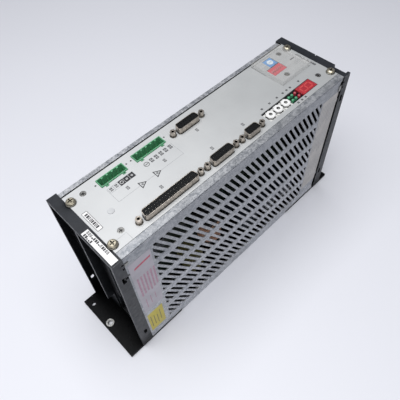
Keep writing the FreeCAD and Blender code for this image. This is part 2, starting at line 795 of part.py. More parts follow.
def make_dsub_insulators():
    blocks = []
    contacts = []
    for label, (x, y, length, spacing, count) in DSUBS.items():
        body = new_body(label + "_insulator")
        outline = sketch_on(body, "InsulatorSketch", "XY_Plane", "BoardHeight + BoardThick")
        dsub_outline(outline, x, y, length, -0.55)
        for across, along in contact_places(x, y, count):
            circle(outline, across, along, 2 * CONTACT_RADIUS)
        pad(body, "InsulatorPad", outline, "FrontHeight + DsubRise - 0.7 - BoardHeight - BoardThick")
        blocks.append(body)
        for across, along in contact_places(x, y, count):
            contacts.append(cylinder("Contact", across, along, BOARD_TOP, CONTACT_RADIUS,
                                     "FrontHeight + DsubRise - 2 - BoardHeight - BoardThick"))
    node(group("DsubBlocks", blocks), "dsub_insulators")
    node(group("DsubContacts", contacts), "dsub_contacts")


def make_jackscrews():
    screws = []
    for x, y, length, spacing, _ in DSUBS.values():
        for end in (-1, 1):
            across = y + end * spacing / 2
            washer = cylinder("JackWasher", x, across, FRONT, 3.1, 0.6)
            hexagon = prism("JackHex", 6, x, across, FRONT + 0.6, "JackAcross / 1.732", 4.4)
            shank = cylinder("JackShank", x, across, FRONT - 7.0, 1.5, 7.0)
            bore = cylinder("JackBore", x, across, FRONT + 1.0, 1.2, 6.0)
            screws.append(cut("Jackscrew", fuse("JackSolid", [washer, hexagon, shank]), [bore]))
    node(group("Jackscrews", screws), "dsub_jackscrews")


# ---- indicators and setting switches --------------------------------------------------------

KNOB_LABELS = ("rotary_knob_lower", "rotary_knob_middle", "rotary_knob_upper")
SWITCH_TOP = 172.4
STEM = 1.5
RUNNING_GAP = 0.05


def make_indicator_bezel():
    left, low, wide, tall = PANEL_SLOT
    edge = 0.8
    plate = box("BezelPlate", left - edge, low - edge, PANEL_BACK - 2.0, wide + 2 * edge, tall + 2 * edge, 2.0)
    gaps = [
        box("BezelSwitch", INDICATOR_X - 5.05, KNOB_Y + step * size("KnobPitch") - 5.05, PANEL_BACK - 2.0,
            10.1, 10.1, 2.0)
        for step in range(3)
    ]
    gaps.append(box("BezelDisplay", DISPLAY[0] - 0.1, DISPLAY[1] - 0.1, PANEL_BACK - 2.0,
                    DISPLAY[2] + 0.2, DISPLAY[3] + 0.2, 2.0))
    for x in LED_COLUMNS:
        for y in LED_ROWS:
            gaps.append(cylinder("BezelLed", x, y, PANEL_BACK - 2.0, 1.55, 2.0))
    node(cut("Bezel", plate, gaps), "indicator_bezel")


def make_rotary_switches():
    """White switches: a square body, and a fluted knob with a driver slot on its stem."""
    bodies = []
    radius = size("KnobAcross") / 2
    for step, label in enumerate(KNOB_LABELS):
        y = KNOB_Y + step * size("KnobPitch")
        case = box("SwitchCase", INDICATOR_X - 5.0, y - 5.0, BOARD_TOP, 10.0, 10.0, SWITCH_TOP - BOARD_TOP)
        bore = cylinder("SwitchBore", INDICATOR_X, y, SWITCH_TOP - 6.0, STEM + RUNNING_GAP, 6.0)
        bodies.append(cut("SwitchBody", case, [bore]))
        disc = cylinder("KnobDisc", INDICATOR_X, y, SWITCH_TOP + 0.3, radius - 0.5, 1.6)
        rim = cone("KnobRim", INDICATOR_X, y, SWITCH_TOP + 1.9, radius - 0.5, radius - 1.1, 0.6)
        lobes = []
        for tooth in range(8):
            angle = math.radians(45 * tooth + 22.5)
            reach = radius - 1.5
            lobes.append(cylinder("KnobLobe", INDICATOR_X + reach * math.cos(angle),
                                  y + reach * math.sin(angle), SWITCH_TOP + 0.3, 1.5, 1.6))
        stem = cylinder("KnobStem", INDICATOR_X, y, SWITCH_TOP - 5.5, STEM, 6.0)
        solid = fuse("KnobSolid", [disc, rim, stem] + lobes)
        top = SWITCH_TOP + 2.5
        cup = cylinder("KnobCup", INDICATOR_X, y, top - 1.1, 1.7, 2.0)
        slot = box("KnobSlot", INDICATOR_X - 1.6, y - 0.4, top - 1.9, 3.2, 0.8, 2.0)
        node(cut(label + "_cut", solid, [fuse("KnobDrive", [cup, slot])]), label)
    node(group("SwitchBodies", bodies), "rotary_switch_bodies")


def make_leds():
    def lights(rows):
        made = []
        for y in rows:
            for x in LED_COLUMNS:
                stem = cylinder("LedStem", x, y, BOARD_TOP, "LedAcross / 2", 174.2 - BOARD_TOP)
                made.append(fuse("Led", [stem, dome("LedDome", x, y, 174.2, "LedAcross / 2")]))
        return made
    node(group("GreenLeds", lights(LED_ROWS[:2])), "green_status_leds")
    node(group("RedLeds", lights(LED_ROWS[2:])), "red_status_leds")


def make_digit_display():
    left, low, wide, tall = DISPLAY
    node(box("DigitDisplay", left, low, BOARD_TOP, wide, tall, FRONT + 0.2 - BOARD_TOP), "digit_display")


def make_coding_switch():
    x, y = CODING
    top = FRONT - 0.2
    case = box("CodingCase", x - 5.25, y - 5.25, BOARD_TOP, 10.5, 10.5, top - BOARD_TOP)
    recess = cylinder("CodingRecess", x, y, top - 1.4, 3.25, 2.0)
    bore = cylinder("CodingBore", x, y, top - 5.5, 1.25 + RUNNING_GAP, 5.0)
    node(cut("CodingBody", case, [fuse("CodingRoom", [recess, bore])]), "coding_switch_body")
    disc = cylinder("RotorDisc", x, y, top - 1.2, 3.2, 1.4)
    stem = cylinder("RotorStem", x, y, top - 5.0, 1.25, 4.0)
    arrow = box("RotorSlot", x - 0.4, y - 2.2, top - 0.6, 0.8, 4.4, 1.0)
    head = prism("RotorArrow", 3, x, y + 1.3, top - 0.6, 1.2, 1.0)
    node(cut("CodingRotor", fuse("RotorSolid", [disc, stem]), [fuse("RotorMark", [arrow, head])]),
         "coding_switch_rotor")


def make_dip_switch():
    """Red DIP switch: each slider runs across the body in its own groove."""
    left, low, wide, tall = DIP
    top = FRONT - 0.2
    case = box("DipCase", left, low, BOARD_TOP, wide, tall, top - BOARD_TOP)
    slider = 1.6
    side_gap = 0.1
    grooves = []
    start = left + wide / 2 - (slider + size("DipTravel")) / 2
    for step in range(DIP_COUNT):
        y = low + tall / 2 + (step - (DIP_COUNT - 1) / 2) * size("DipPitch")
        grooves.append(box("DipGroove", start - side_gap, y - 0.6 - side_gap, top - 1.6,
                           slider + size("DipTravel") + 2 * side_gap, 1.2 + 2 * side_gap, 2.0))
        node(box("DipSlider", start, y - 0.6, top - 1.5, slider, 1.2, 1.7), "dip_slider_%d" % (step + 1))
    node(cut("DipBody", case, grooves), "dip_switch_body")


def make_trimmer():
    x, y = TRIMMER
    top = 171.0
    case = box("TrimmerCase", x - 4.7, y - 4.7, BOARD_TOP, 9.4, 9.4, top - BOARD_TOP)
    recess = cylinder("TrimmerRecess", x, y, top - 3.0, 2.3 + RUNNING_GAP, 4.0)
    node(cut("TrimmerBody", case, [recess]), "trimmer_body")
    rotor = cylinder("TrimmerDisc", x, y, top - 2.8, 2.3, 4.2)
    slot = box("TrimmerSlot", x - 1.8, y - 0.4, top + 0.6, 3.6, 0.8, 2.0)
    node(cut("TrimmerRotor", rotor, [slot]), "trimmer_rotor")


CLEAR_CAP = (-32.0, 84.0, 39.6, 41.0, 4.9)
CAP_WALL = 1.2


def make_clear_cover():
    """Clear cap that stands on the panel over the setting switches."""
    left, low, wide, tall, high = CLEAR_CAP
    outer = box("CapBlock", left, low, FRONT, wide, tall, high)
    room = box("CapRoom", left + CAP_WALL, low + CAP_WALL, FRONT, wide - 2 * CAP_WALL, tall - 2 * CAP_WALL,
               high - CAP_WALL)
    node(cut("ClearCap", outer, [room]), "clear_switch_cover")


# ---- labels ---------------------------------------------------------------------------------

LABEL_THICK = 0.12


def make_labels():
    panel_label = box("TypeLabel", -10.7, -130.7, FRONT, 21.4, 5.3, LABEL_THICK)
    end_label = box("EndLabel", 3.3, -140.6, FRONT, 36.2, 6.2, LABEL_THICK)
    node(group("WhiteLabels", [panel_label, end_label]), "white_labels")
    side = HALF_WIDE
    node(box("NoticeLabel", side, -130.5, 66.0, LABEL_THICK, 21.5, 93.0), "notice_label")
    node(box("YellowLabel", side, -130.1, 17.0, LABEL_THICK, 17.8, 40.0), "yellow_label")
    node(box("RatingLabel", side, 105.8, 24.0, LABEL_THICK, 24.6, 134.0), "rating_label")


# ---- inside ---------------------------------------------------------------------------------

SINK_LONG = 236.0
SINK_TALL = 146.0
SINK_BASE = 6.0
SINK_LIFT = 2.0
SINK_FIN = 2.0
SINK_FINS = 9


def make_heat_sink():
    """Extruded heat sink: an upright base with fins towards the closed side cover."""
    body = new_body("HeatSink")
    section = sketch_on(body, "SinkSection", "XZ_Plane")
    low = size("PlateThick") + SINK_LIFT
    tip = -38.0
    root = HEAT_SINK_FACE - SINK_BASE
    pitch = (SINK_TALL - SINK_FIN) / (SINK_FINS - 1)
    points = [(HEAT_SINK_FACE, low)]
    for fin in range(SINK_FINS):
        base = low + fin * pitch
        points += [(tip, base), (tip, base + SINK_FIN)]
        if fin < SINK_FINS - 1:
            points += [(root, base + SINK_FIN), (root, base + pitch)]
    points.append((HEAT_SINK_FACE, low + SINK_TALL))
    polygon(section, points)
    pad(body, "SinkPad", section, SINK_LONG, both_ways=True)
    node(body, "heat_sink")


MODULE = (-35.0, 30.0, 70.0, 50.0)


def make_power_module():
    y, z, length, tall = MODULE
    thick = POWER_BOARD_X - HEAT_SINK_FACE
    block = box("ModuleBlock", HEAT_SINK_FACE, y, z, thick, length, tall)
    ears = [
        box("ModuleEar", HEAT_SINK_FACE, y - 12.0 if end < 0 else y + length, z + tall / 2 - 9.0,
            4.0, 12.0, 18.0)
        for end in (-1, 1)
    ]
    holes = []
    screws = []
    for end in (-1, 1):
        across = y - 6.0 if end < 0 else y + length + 6.0
        holes.append(cylinder("EarBore", HEAT_SINK_FACE, across, z + tall / 2, 2.0, 4.0, "x"))
        shank = cylinder("ModuleShank", HEAT_SINK_FACE, across, z + tall / 2, 2.0, 4.0, "x")
        head = cylinder("ModuleHead", HEAT_SINK_FACE + 4.0, across, z + tall / 2, 3.6, 2.6, "x")
        screws.append(fuse("ModuleScrew", [shank, head]))
    node(cut("PowerModule", fuse("ModuleSolid", [block] + ears), holes), "power_module")
    node(group("ModuleScrews", screws), "power_module_screws")


PART_X = POWER_BOARD_X + 1.6


def make_boards():
    node(box("ControlBoard", -32.0, -122.0, "BoardHeight", 64.0, 244.0, "BoardThick"), "control_board")
    node(box("PowerBoard", POWER_BOARD_X, -115.0, 10.0, "BoardThick", 230.0, 142.0), "power_board")


def make_capacitors():
    cans = []
    for y in (18.0, 48.0, 78.0):
        can = cylinder("Can", PART_X, y, 52.0, 12.5, 31.0, "x")
        groove = cylinder("CanGroove", PART_X + 3.0, y, 52.0, 13.0, 1.2, "x")
        core = cylinder("CanCore", PART_X + 3.0, y, 52.0, 12.0, 1.2, "x")
        cans.append(cut("CanRolled", can, [cut("CanRing", groove, [core])]))
    node(group("Capacitors", cans), "dc_link_capacitors")


CHOKE = (22.0, -30.5, 79.0)
COIL_TALL = 22.0
COIL_RADIUS = 12.0
CORE_LEG = 5.5


def make_choke():
    x, y, z = CHOKE
    coil = cylinder("Coil", x, y, z - COIL_TALL / 2, COIL_RADIUS, COIL_TALL)
    bore = cylinder("CoilBore", x, y, z - COIL_TALL / 2, CORE_LEG, COIL_TALL)
    node(cut("Winding", coil, [bore]), "choke_winding")
    plate = 6.0
    leg = cylinder("CoreLeg", x, y, z - COIL_TALL / 2, CORE_LEG, COIL_TALL)
    plates = [
        box("CorePlate", PART_X, y - 9.0, start, x + 8.0 - PART_X, 18.0, plate)
        for start in (z - COIL_TALL / 2 - plate, z + COIL_TALL / 2)
    ]
    back = box("CoreBack", PART_X, y - 9.0, z - COIL_TALL / 2, x - COIL_RADIUS - 0.5 - PART_X, 18.0, COIL_TALL)
    node(fuse("Core", [leg, back] + plates), "choke_core")


def make_board_parts():
    block = box("TransformerCore", PART_X, -62.0, 26.0, 18.0, 20.0, 22.0)
    tape = box("TransformerTape", PART_X, -59.5, 22.0, 21.0, 15.0, 30.0)
    node(fuse("Transformer", [block, tape]), "switching_transformer")
    relays = [box("Relay", PART_X, -104.0, z, 16.0, 20.0, 12.5) for z in (108.0, 124.0)]
    node(group("Relays", relays), "relays")
    plug = box("RibbonPlug", PART_X, 58.0, 116.0, 6.0, 30.0, 9.0)
    strip = box("RibbonStrip", PART_X + 2.4, 60.0, 125.0, 1.0, 26.0, 35.0)
    node(fuse("Ribbon", [plug, strip]), "ribbon_cable")


# ---- build ----------------------------------------------------------------------------------

make_back_plate()
make_fixing_bushes()
make_end_frame_screws()
make_end_frame("bottom_end_frame", -1)
make_end_frame("top_end_frame", 1)
make_left_cover()
make_side_cover()
make_cover_clips()
make_front_panel()
make_corner_screws()
make_spacer_screws()
make_spacers()
make_blind_plug()
make_headers()
for shell_label in DSUBS:
    make_dsub_shell(shell_label)
make_dsub_insulators()
make_jackscrews()
make_indicator_bezel()
make_rotary_switches()
make_leds()
make_digit_display()
make_coding_switch()
make_dip_switch()
make_trimmer()
make_clear_cover()
make_labels()
make_heat_sink()
make_power_module()
make_boards()
make_capacitors()
make_choke()
make_board_parts()

doc.recompute()

for thing in doc.Objects:
    if "Invalid" in thing.State or "Error" in thing.State:
        raise RuntimeError("%s failed: %s" % (thing.Name, thing.State))
for piece in NODES:
    if piece.Shape.isNull() or not piece.Shape.isValid():
        raise RuntimeError(piece.Label + " has no valid shape")

os.makedirs("parts", exist_ok=True)
for piece in NODES:
    piece.Shape.exportStep("parts/%s.step" % piece.Label)
print("%d sub-parts written" % len(NODES))
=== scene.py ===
import json
import math
import random

import bmesh
import bpy
from mathutils import Matrix, Vector


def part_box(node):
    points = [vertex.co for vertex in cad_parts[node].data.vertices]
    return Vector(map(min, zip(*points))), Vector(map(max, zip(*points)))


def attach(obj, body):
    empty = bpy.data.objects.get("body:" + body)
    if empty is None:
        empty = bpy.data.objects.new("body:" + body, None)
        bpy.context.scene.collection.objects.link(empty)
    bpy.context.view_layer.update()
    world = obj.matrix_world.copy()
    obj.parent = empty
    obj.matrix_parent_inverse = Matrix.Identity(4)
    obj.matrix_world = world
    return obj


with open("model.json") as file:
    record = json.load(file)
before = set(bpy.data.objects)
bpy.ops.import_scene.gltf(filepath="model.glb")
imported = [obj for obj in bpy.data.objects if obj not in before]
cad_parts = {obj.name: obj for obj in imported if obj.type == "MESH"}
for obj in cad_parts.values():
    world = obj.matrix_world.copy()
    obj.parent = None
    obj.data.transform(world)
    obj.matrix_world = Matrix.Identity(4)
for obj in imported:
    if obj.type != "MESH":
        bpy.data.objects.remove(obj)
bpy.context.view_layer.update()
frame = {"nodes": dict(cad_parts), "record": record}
NODES = frame["nodes"]
HOUSING = "housing"
MM = 0.001
FACE_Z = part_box("front_panel")[1][2]


# ---- shader helpers ---------------------------------------------------------------------------

NOISE_BAND = (0.3, 0.7)
EDGE_DOT_BAND = (0.55, 0.995)


def add(tree, kind, **settings):
    """A shader node; each setting is one of its properties."""
    made = tree.nodes.new(kind)
    for key, value in settings.items():
        setattr(made, key, value)
    return made


def put(tree, value, socket):
    """Feed a socket from another socket, or set it directly."""
    if isinstance(value, bpy.types.NodeSocket):
        tree.links.new(value, socket)
    else:
        socket.default_value = value


def math_node(tree, operation, first, second=0.0):
    made = add(tree, "ShaderNodeMath", operation=operation)
    put(tree, first, made.inputs[0])
    put(tree, second, made.inputs[1])
    return made.outputs[0]


def rescale(tree, value, low, high, new_low, new_high):
    """Map one range onto another and hold the value at its ends."""
    made = add(tree, "ShaderNodeMapRange", clamp=True)
    put(tree, value, made.inputs[0])
    for socket, number in zip(made.inputs[1:5], (low, high, new_low, new_high)):
        put(tree, number, socket)
    return made.outputs[0]


def spread(tree, field, new_low=0.0, new_high=1.0):
    """Map the band that a noise field mostly fills onto a new range."""
    return rescale(tree, field, *NOISE_BAND, new_low, new_high)


def mix_colour(tree, factor, first, second):
    made = add(tree, "ShaderNodeMix", data_type="RGBA")
    put(tree, factor, made.inputs[0])
    for value, socket in ((first, made.inputs[6]), (second, made.inputs[7])):
        put(tree, value if isinstance(value, bpy.types.NodeSocket) else (*value, 1.0), socket)
    return made.outputs[2]


def split_colour(tree, colour):
    """A colour's red, green and blue sockets."""
    parts = add(tree, "ShaderNodeSeparateColor")
    put(tree, colour, parts.inputs[0])
    return parts.outputs


def split_vector(tree, vector):
    """A vector's X, Y and Z sockets."""
    axes = add(tree, "ShaderNodeSeparateXYZ")
    put(tree, vector, axes.inputs[0])
    return axes.outputs


def place_on_part(tree):
    """Across, along and above the mounting face, in metres."""
    return split_vector(tree, add(tree, "ShaderNodeTexCoord").outputs["Object"])


def coordinates(tree, stretch=(1.0, 1.0, 1.0)):
    place = add(tree, "ShaderNodeTexCoord").outputs["Object"]
    mapping = add(tree, "ShaderNodeMapping")
    put(tree, place, mapping.inputs["Vector"])
    put(tree, stretch, mapping.inputs["Scale"])
    return mapping.outputs[0]


def noise(tree, scale, detail=3.0, stretch=(1.0, 1.0, 1.0), rough=0.55):
    made = add(tree, "ShaderNodeTexNoise")
    put(tree, coordinates(tree, stretch), made.inputs["Vector"])
    put(tree, scale, made.inputs["Scale"])
    put(tree, detail, made.inputs["Detail"])
    put(tree, rough, made.inputs["Roughness"])
    return made.outputs["Fac"]


def cells(tree, scale):
    """Flat patches, each with its own random colour."""
    made = add(tree, "ShaderNodeTexVoronoi")
    put(tree, coordinates(tree), made.inputs["Vector"])
    put(tree, scale, made.inputs["Scale"])
    return made.outputs["Color"]


def edge_mask(tree, radius):
    """1 on sharp outer edges, 0 on flat faces."""
    bevel = add(tree, "ShaderNodeBevel", samples=4)
    put(tree, radius, bevel.inputs["Radius"])
    normal = add(tree, "ShaderNodeNewGeometry").outputs["True Normal"]
    dot = add(tree, "ShaderNodeVectorMath", operation="DOT_PRODUCT")
    put(tree, bevel.outputs[0], dot.inputs[0])
    put(tree, normal, dot.inputs[1])
    return rescale(tree, dot.outputs["Value"], *EDGE_DOT_BAND, 1.0, 0.0)


def openness(tree, reach, power):
    """1 on open faces, falling towards 0 deep in corners and recesses."""
    made = add(tree, "ShaderNodeAmbientOcclusion", samples=6)
    put(tree, reach, made.inputs["Distance"])
    return math_node(tree, "POWER", made.outputs["AO"], power)


def new_surface(name):
    material = bpy.data.materials.new(name)
    material.use_nodes = True
    tree = material.node_tree
    return material, tree, tree.nodes["Principled BSDF"]


def finish_normal(tree, shader, height, strength, distance, soft_edge=0.0):
    """Bump from a height field, over edges rounded by soft_edge."""
    bump = add(tree, "ShaderNodeBump")
    put(tree, strength, bump.inputs["Strength"])
    put(tree, distance, bump.inputs["Distance"])
    put(tree, height, bump.inputs["Height"])
    if soft_edge:
        bevel = add(tree, "ShaderNodeBevel", samples=4)
        put(tree, soft_edge, bevel.inputs["Radius"])
        put(tree, bevel.outputs[0], bump.inputs["Normal"])
    put(tree, bump.outputs[0], shader.inputs["Normal"])


# ---- general finish ---------------------------------------------------------------------------

DUST = (0.42, 0.41, 0.39)
RECESS_SHADE_TONE = 0.12
RECESS_SHADE_GLOSS = 0.15
UNEVEN_ROUGH = 0.09
SMOOTHEST = 0.03
GRAIN_DEPTH = 0.06 * MM


def surface(name, base, rough, metal=0.0, mottle=0.08, mottle_scale=120.0, grain=0.25,
            grain_scale=1800.0, soft_edge=0.25 * MM, wear_and_highlight=None, wear_and_highlight_amount=0.6, dust=0.0, coat=0.0,
            gloss=0.5, deep=0.0, deep_power=4.0):
    """A general finish: mottled colour, uneven gloss, fine grain, softened edges lightened by wear and,
    on some parts, painted highlight, dust, and with a reach in deep also painted shade that darkens
    corners and recesses."""
    material, tree, shader = new_surface(name)
    dark = [tone * (1.0 - mottle) for tone in base]
    light = [min(1.0, tone * (1.0 + mottle)) for tone in base]
    colour = mix_colour(tree, spread(tree, noise(tree, mottle_scale, 4.0)), dark, light)
    if dust:
        cloud = noise(tree, mottle_scale * 0.35, 5.0, rough=0.7)
        colour = mix_colour(tree, rescale(tree, cloud, 0.45, 0.8, 0.0, dust), colour, DUST)
    # Lighter edges: wear, and on the black frame also a painted highlight where the edges catch light.
    if wear_and_highlight:
        mask = edge_mask(tree, soft_edge * 1.6)
        broken = rescale(tree, noise(tree, mottle_scale * 4.0, 5.0), 0.35, 0.6, 0.35, wear_and_highlight_amount)
        colour = mix_colour(tree, math_node(tree, "MULTIPLY", mask, broken), colour, wear_and_highlight)
    # Painted shade: corners and recesses are darkened in colour and gloss by ambient occlusion.
    if deep:
        open_part = openness(tree, deep, deep_power)
        colour = mix_colour(tree, open_part, [tone * RECESS_SHADE_TONE for tone in base], colour)
        gloss = rescale(tree, open_part, 0.0, 1.0, gloss * RECESS_SHADE_GLOSS, gloss)
    put(tree, colour, shader.inputs["Base Color"])
    put(tree, gloss, shader.inputs["Specular IOR Level"])
    spots = noise(tree, mottle_scale * 2.3, 4.0)
    smoother = max(SMOOTHEST, rough - UNEVEN_ROUGH)
    rougher = min(1.0, rough + UNEVEN_ROUGH)
    put(tree, spread(tree, spots, smoother, rougher), shader.inputs["Roughness"])
    put(tree, metal, shader.inputs["Metallic"])
    put(tree, coat, shader.inputs["Coat Weight"])
    finish_normal(tree, shader, noise(tree, grain_scale, 2.0), grain, GRAIN_DEPTH, soft_edge)
    return material


# ---- finishes with a pattern of their own -----------------------------------------------------

def spangle(tree):
    """Zinc crystals in two sizes with rolling streaks over them."""
    coarse = split_colour(tree, cells(tree, 330.0))[0]
    small = split_colour(tree, cells(tree, 900.0))[1]
    crystals = math_node(tree, "ADD", math_node(tree, "MULTIPLY", coarse, 0.45),
                         math_node(tree, "MULTIPLY", small, 0.55))
    streak = noise(tree, 240.0, 6.0, stretch=(1.0, 0.22, 1.0), rough=0.75)
    return math_node(tree, "ADD", math_node(tree, "MULTIPLY", crystals, 0.45),
                     math_node(tree, "MULTIPLY", streak, 0.55))


def zinc_painted_shade(tree):
    """How much darker the zinc is painted: painted shade growing with height on the sides, and darker
    again on the front edge.
    """
    height = place_on_part(tree)[2]
    below_face = rescale(tree, height, FACE_Z - 2.4 * MM, FACE_Z - 1.8 * MM, 1.0, 0.40)
    sides = math_node(tree, "MULTIPLY", rescale(tree, height, 0.03, 0.165, 0.0, 0.50), below_face)
    front = rescale(tree, height, FACE_Z - 0.8 * MM, FACE_Z - 0.2 * MM, 0.0, 0.42)
    return math_node(tree, "MAXIMUM", sides, front)


def galvanised(name):
    """Zinc-coated sheet: fine spangle, rolling streaks, painted shade growing towards the front face,
    bright dashes painted on the edges as highlight.
    """
    material, tree, shader = new_surface(name)
    value = spangle(tree)
    colour = mix_colour(tree, rescale(tree, value, 0.34, 0.66, 0.0, 1.0),
                        (0.27, 0.285, 0.315), (0.66, 0.67, 0.695))
    # Painted shade: the sides grow darker with height, and the front edge is darker again.
    colour = mix_colour(tree, zinc_painted_shade(tree), colour, (0.17, 0.185, 0.20))
    smudge = rescale(tree, noise(tree, 38.0, 6.0, rough=0.7), 0.46, 0.72, 0.0, 0.42)
    colour = mix_colour(tree, smudge, colour, (0.27, 0.275, 0.28))
    # Painted highlight: broken bright dashes along the sharp edges, where the rounded fold catches light.
    highlight_dashes = rescale(tree, noise(tree, 150.0, 2.0, stretch=(0.2, 1.0, 0.2)), 0.50, 0.60, 0.12, 1.0)
    edge = math_node(tree, "MULTIPLY", edge_mask(tree, 0.42 * MM), highlight_dashes)
    put(tree, mix_colour(tree, edge, colour, (0.93, 0.94, 0.95)), shader.inputs["Base Color"])
    put(tree, 0.65, shader.inputs["Metallic"])
    put(tree, rescale(tree, value, 0.25, 0.75, 0.34, 0.56), shader.inputs["Roughness"])
    finish_normal(tree, shader, value, 0.35, 0.05 * MM, 0.3 * MM)
    return material


def panel_finish(name):
    """Light painted sheet: fine orange-peel, handling marks, rubbed edges, and painted shade that darkens
    it towards the top end.
    """
    material, tree, shader = new_surface(name)
    tone = spread(tree, noise(tree, 14.0, 4.0))
    colour = mix_colour(tree, tone, (0.545, 0.555, 0.56), (0.61, 0.62, 0.625))
    # Painted shade: the panel grows darker towards its top end.
    painted_top_shade = rescale(tree, place_on_part(tree)[1], -0.08, 0.10, 0.0, 0.55)
    colour = mix_colour(tree, painted_top_shade, colour, (0.30, 0.315, 0.315))
    grime = rescale(tree, noise(tree, 60.0, 6.0, rough=0.75), 0.58, 0.8, 0.0, 0.25)
    colour = mix_colour(tree, grime, colour, (0.50, 0.49, 0.47))
    edge = math_node(tree, "MULTIPLY", edge_mask(tree, 0.3 * MM), 0.6)
    put(tree, mix_colour(tree, edge, colour, (0.72, 0.72, 0.72)), shader.inputs["Base Color"])
    put(tree, 0.3, shader.inputs["Metallic"])
    put(tree, spread(tree, noise(tree, 45.0, 4.0), 0.44, 0.56), shader.inputs["Roughness"])
    finish_normal(tree, shader, noise(tree, 1500.0, 2.0), 0.12, 0.05 * MM, 0.2 * MM)
    return material


def clear_plastic(name):
    """Clear moulded plastic: a thin haze on flat faces, lighter walls and edges, fine scratches."""
    material, tree, shader = new_surface(name)
    normal = add(tree, "ShaderNodeNewGeometry").outputs["True Normal"]
    upward = math_node(tree, "ABSOLUTE", split_vector(tree, normal)[2])
    scratch = rescale(tree, noise(tree, 230.0, 4.0, stretch=(1.0, 0.12, 1.0)), 0.55, 0.75, 0.0, 0.10)
    haze = math_node(tree, "ADD", rescale(tree, upward, 0.2, 0.8, 0.16, 0.085), scratch)
    rim = math_node(tree, "MULTIPLY", edge_mask(tree, 0.5 * MM), 0.22)
    put(tree, math_node(tree, "ADD", haze, rim), shader.inputs["Alpha"])
    colour = mix_colour(tree, spread(tree, noise(tree, 60.0)), (0.70, 0.68, 0.65), (0.82, 0.81, 0.79))
    put(tree, colour, shader.inputs["Base Color"])
    put(tree, spread(tree, noise(tree, 180.0), 0.08, 0.22), shader.inputs["Roughness"])
    put(tree, 0.5, shader.inputs["Coat Weight"])
    finish_normal(tree, shader, noise(tree, 90.0, 2.0), 0.15, 0.2 * MM, 0.4 * MM)
    return material


def circuit_board(name):
    """Solder mask with darker copper tracks under it."""
    material, tree, shader = new_surface(name)
    tracks = add(tree, "ShaderNodeTexBrick")
    put(tree, coordinates(tree), tracks.inputs["Vector"])
    put(tree, 160.0, tracks.inputs["Scale"])
    put(tree, 0.05, tracks.inputs["Mortar Size"])
    lines = rescale(tree, tracks.outputs["Fac"], 0.0, 1.0, 0.0, 0.6)
    colour = mix_colour(tree, lines, (0.004, 0.014, 0.008), (0.008, 0.030, 0.015))
    cloud = rescale(tree, noise(tree, 90.0, 4.0), 0.4, 0.7, 0.0, 0.3)
    put(tree, mix_colour(tree, cloud, colour, (0.006, 0.014, 0.009)), shader.inputs["Base Color"])
    put(tree, spread(tree, noise(tree, 200.0), 0.28, 0.45), shader.inputs["Roughness"])
    finish_normal(tree, shader, tracks.outputs["Fac"], 0.3, 0.05 * MM)
    return material


def copper_winding(name):
    """Enamelled copper wire laid in close turns round an upright axis."""
    material, tree, shader = new_surface(name)
    turns = add(tree, "ShaderNodeTexWave", wave_type="BANDS", bands_direction="Z", wave_profile="SIN")
    put(tree, coordinates(tree), turns.inputs["Vector"])
    put(tree, 190.0, turns.inputs["Scale"])
    put(tree, 0.6, turns.inputs["Distortion"])
    colour = mix_colour(tree, turns.outputs["Fac"], (0.62, 0.27, 0.15), (0.98, 0.62, 0.42))
    cloud = rescale(tree, noise(tree, 150.0), 0.4, 0.7, 0.0, 0.4)
    put(tree, mix_colour(tree, cloud, colour, (0.62, 0.30, 0.17)), shader.inputs["Base Color"])
    put(tree, 0.2, shader.inputs["Metallic"])
    put(tree, spread(tree, noise(tree, 300.0), 0.25, 0.4), shader.inputs["Roughness"])
    finish_normal(tree, shader, turns.outputs["Fac"], 0.9, 0.3 * MM)
    return material


# ---- finish of each material slot -------------------------------------------------------------

PATTERNED = {
    "galvanised_steel": galvanised,
    "panel_white": panel_finish,
    "clear_plastic": clear_plastic,
    "circuit_board": circuit_board,
    "copper_wire": copper_winding,
}

LABEL_FILM = dict(rough=0.42, mottle=0.10, mottle_scale=90.0, grain=0.15, grain_scale=900.0,
                  soft_edge=0.0, dust=0.22)
LENS = dict(mottle_scale=500.0, grain=0.05)
